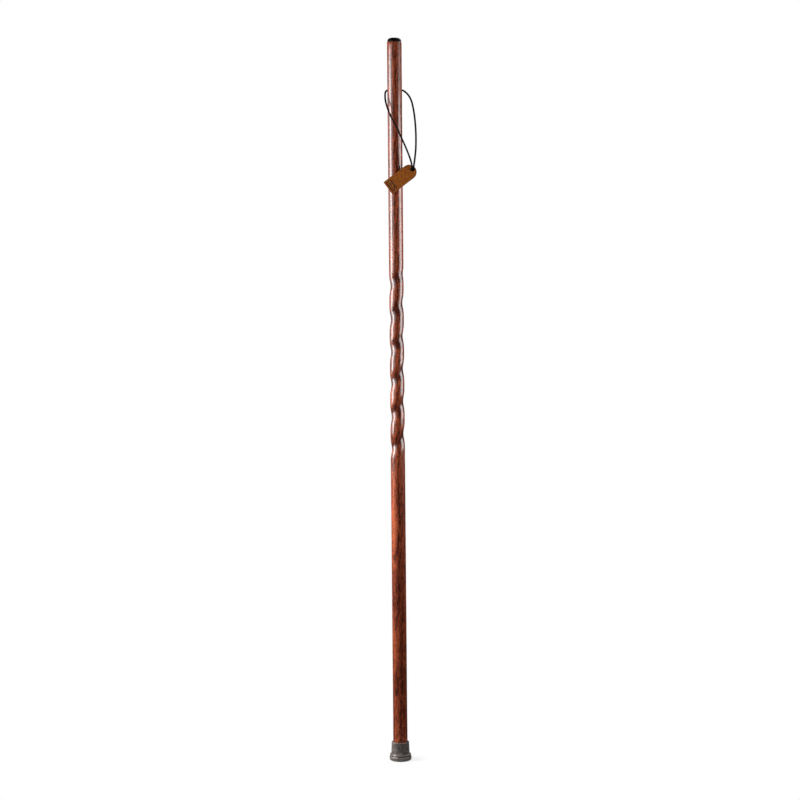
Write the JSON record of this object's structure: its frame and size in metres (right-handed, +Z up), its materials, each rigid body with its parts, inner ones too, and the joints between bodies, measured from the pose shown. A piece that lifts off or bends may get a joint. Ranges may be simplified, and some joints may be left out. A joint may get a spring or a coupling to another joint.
{
  "type": "hiking staff",
  "caption": "Tall round wooden hiking staff with a carved spiral stretch, a cord lanyard with a leather tag, a domed cap and a pull-off rubber tip.",
  "frame": {"origin": "middle of the rubber tip's sole, where the staff stands on the ground", "axes": "+Z up the shaft; the cord hole runs along X; the tag lies on the -Y side of the shaft, which is the front"},
  "size_m": [0.0636, 0.0493, 1.397],
  "materials": {
    "stained_wood": "red-brown stain under clear gloss lacquer, open straight grain",
    "black_cap": "smooth black, soft gloss",
    "grey_rubber": "moulded grey rubber, dull sheen",
    "plain_steel": "plain pressed steel",
    "black_cord": "black round braided cord, waxed",
    "tan_leather": "tan vegetable-tanned leather with dark edges"
  },
  "bodies": {
    "staff": {"shaft": "stained_wood", "top_cap": "black_cap"},
    "tip": {"rubber_tip": "grey_rubber", "tip_washer": "plain_steel"},
    "lanyard": {"cord_in_hole": "black_cord", "cord_left_leg": "black_cord", "cord_right_leg": "black_cord", "cord_knot": "black_cord"},
    "tag": {"leather_tag": "tan_leather"}
  },
  "joints": [
    {"name": "tip_pull", "type": "slide", "parent": "staff", "child": "tip", "axis": [0, 0, -1], "range_m": [0, 0.04]},
    {"name": "lanyard_swing", "type": "hinge", "parent": "staff", "child": "lanyard", "pos_m": [0, 0, 1.2985], "axis": [-1, 0, 0], "range_deg": [0, 120]},
    {"name": "tag_swing", "type": "hinge", "parent": "lanyard", "child": "tag", "pos_m": [0.033, -0.01575, 1.1475], "axis": [0, -1, 0], "range_deg": [-36, 143]}
  ]
}
